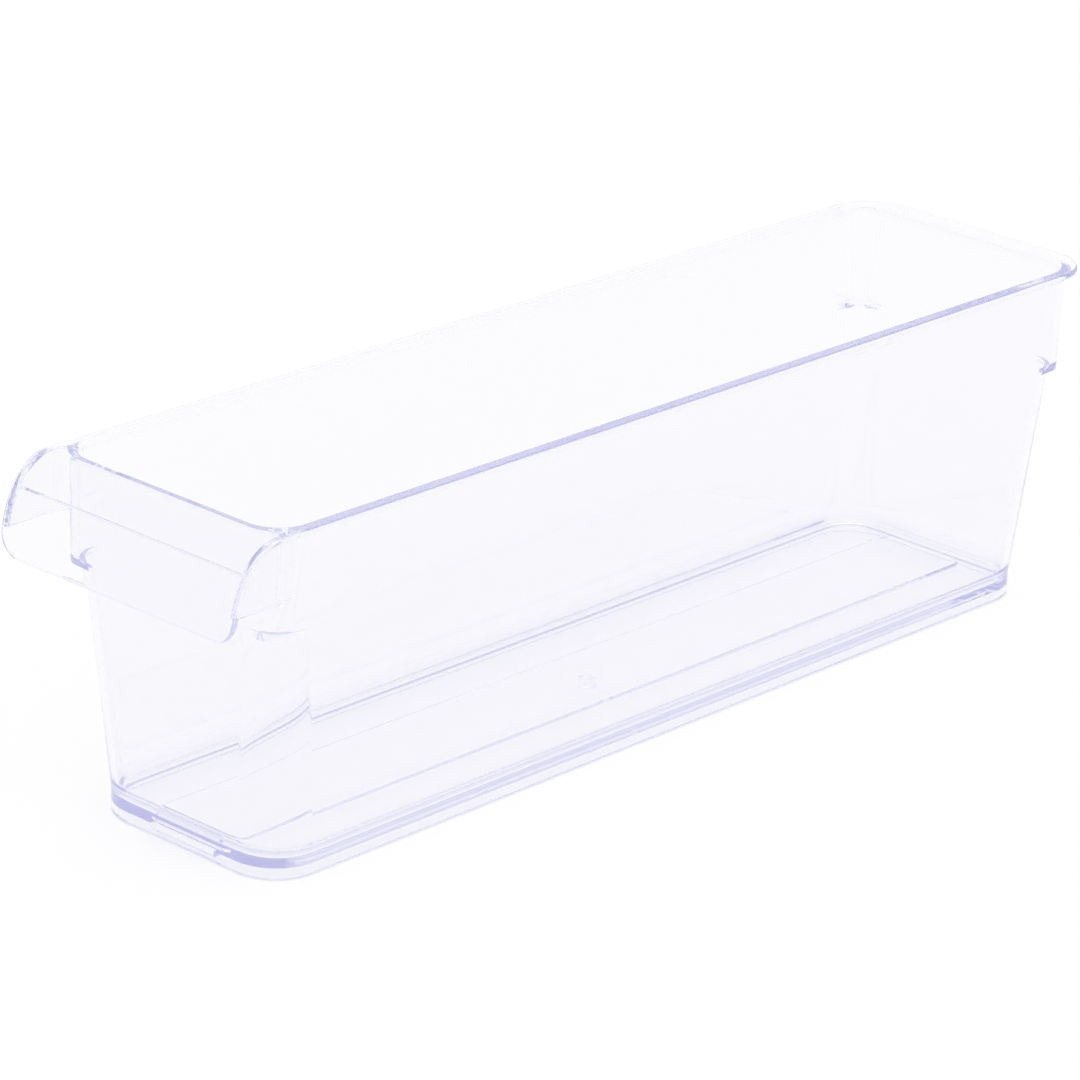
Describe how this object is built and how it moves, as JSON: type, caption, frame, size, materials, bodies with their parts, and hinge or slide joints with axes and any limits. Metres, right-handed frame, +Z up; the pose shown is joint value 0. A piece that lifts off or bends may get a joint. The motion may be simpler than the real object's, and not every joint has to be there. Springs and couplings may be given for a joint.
{
  "type": "fridge drawer organizer",
  "caption": "Long narrow clear storage bin for a fridge shelf, with tapered walls, a flat rim and an arched pull handle on the short front side.",
  "frame": {"origin": "centre of the bounding box's footprint, on the plane the foot stands on", "axes": "+Z up, +Y from the handle to the rear, +X to the right as seen from the handle"},
  "size_m": [0.098, 0.39, 0.114],
  "materials": {
    "clear_plastic": "clear, glossy, moulded polystyrene with a faint blue tint in its edges"
  },
  "bodies": {
    "root": {"floor_panel": "clear_plastic", "foot_ring": "clear_plastic", "foot_lug": "clear_plastic", "front_wall": "clear_plastic", "rear_wall": "clear_plastic", "left_wall": "clear_plastic", "right_wall": "clear_plastic", "post_front_left": "clear_plastic", "post_front_right": "clear_plastic", "post_rear_left": "clear_plastic", "post_rear_right": "clear_plastic", "rim_flange": "clear_plastic", "handle_grip": "clear_plastic", "handle_web_left": "clear_plastic", "handle_web_right": "clear_plastic"}
  },
  "joints": []
}
